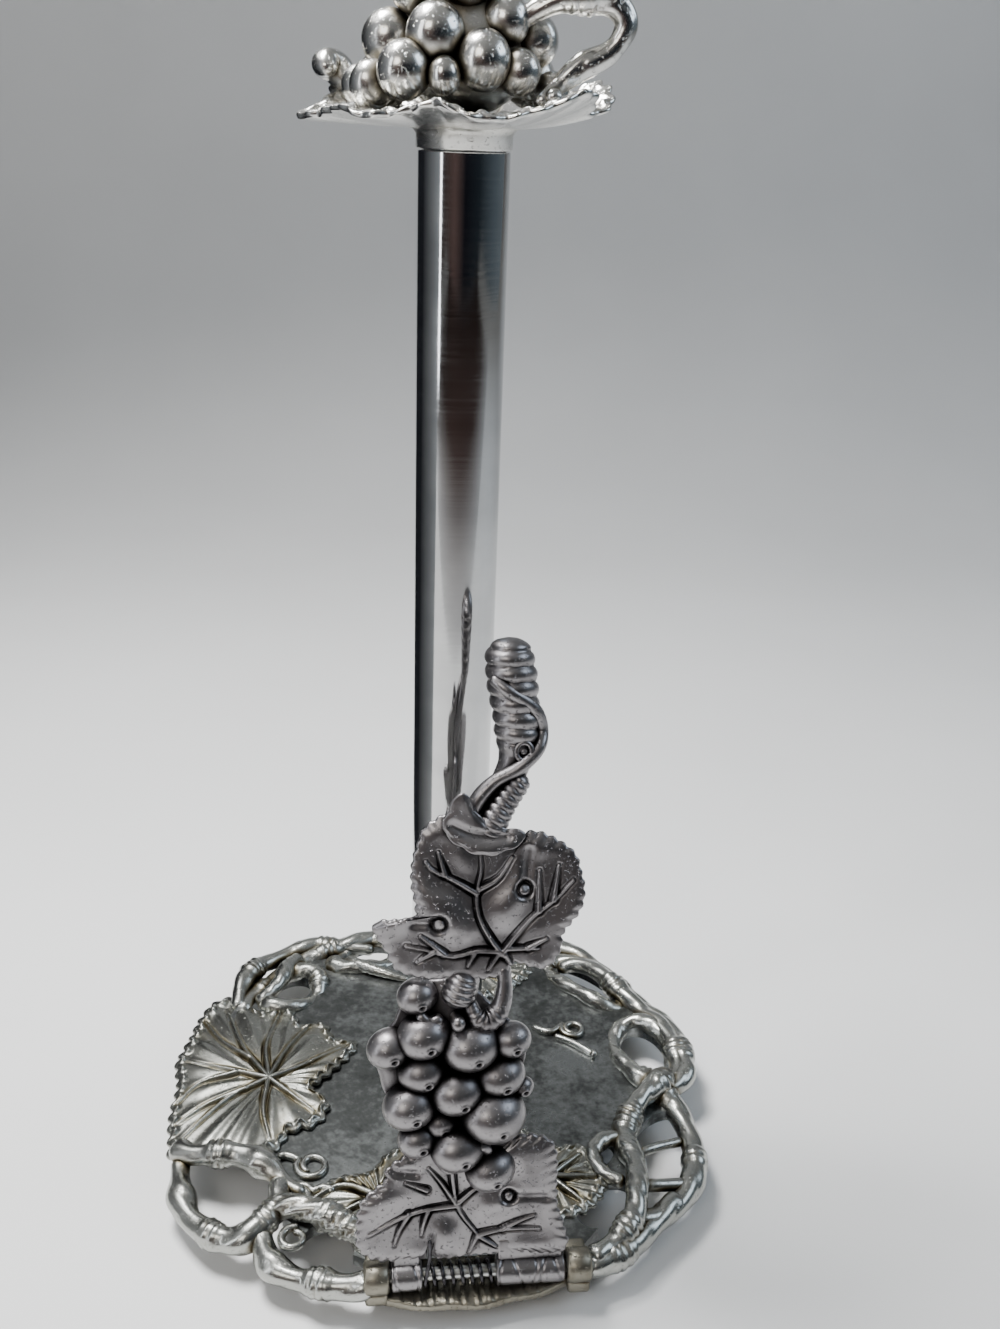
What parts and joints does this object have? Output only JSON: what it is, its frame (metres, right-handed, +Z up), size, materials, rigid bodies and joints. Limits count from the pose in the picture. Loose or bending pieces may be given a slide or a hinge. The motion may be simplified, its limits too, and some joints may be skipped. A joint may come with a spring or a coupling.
{
  "type": "paper towel holder",
  "caption": "Standing paper towel holder with a round cast vine base, a polished tube, a screw-on grape finial and a sprung leaf-and-grape arm that holds the roll.",
  "frame": {"origin": "the point on the table under the tube's axis", "axes": "+Z up along the tube's axis, -Y towards the side that the sprung arm is hinged on, +X to the right seen from the arm"},
  "size_m": [0.1925, 0.1909, 0.3969],
  "materials": {
    "polished_cast_aluminium": "polished cast, with darkened recesses",
    "dark_cast_aluminium": "antiqued cast, with black recesses",
    "bright_cast_aluminium": "polished cast",
    "polished_tube": "mirror polished",
    "turned_aluminium": "as turned",
    "zinc_plated_steel": "zinc plated",
    "spring_steel": "plain wire",
    "foot_rubber": "matt"
  },
  "bodies": {
    "stand": {"base_casting": "polished_cast_aluminium", "foot_1": "foot_rubber", "foot_2": "foot_rubber", "foot_3": "foot_rubber", "foot_4": "foot_rubber", "centre_tube": "polished_tube", "lower_plug": "turned_aluminium", "upper_plug": "turned_aluminium", "tie_screw": "zinc_plated_steel", "plain_washer": "zinc_plated_steel", "spring_washer": "zinc_plated_steel", "hinge_pin": "zinc_plated_steel", "torsion_spring": "spring_steel"},
    "arm": {"arm_casting": "dark_cast_aluminium"},
    "stud": {"finial_stud": "zinc_plated_steel"},
    "finial": {"finial_casting": "bright_cast_aluminium"}
  },
  "joints": [
    {"name": "arm_hinge", "type": "hinge", "parent": "stand", "child": "arm", "pos_m": [0, -0.0865, 0.0145], "axis": [1, 0, 0], "range_deg": [0, 75], "stiffness_Nm_per_rad": 0.12, "springref_deg": -34.38, "deforming": ["torsion_spring"]},
    {"name": "finial_lift", "type": "slide", "parent": "stand", "child": "stud", "axis": [0, 0, 1], "range_m": [0, 0.0185]},
    {"name": "finial_turn", "type": "hinge", "parent": "stud", "child": "finial", "pos_m": [0, 0, 0.336], "axis": [0, 0, 1], "range_deg": [0, 6480]}
  ],
  "couplings": [
    {"joint": "finial_lift", "follows": "finial_turn", "m_per_rad": 0.00015915}
  ]
}
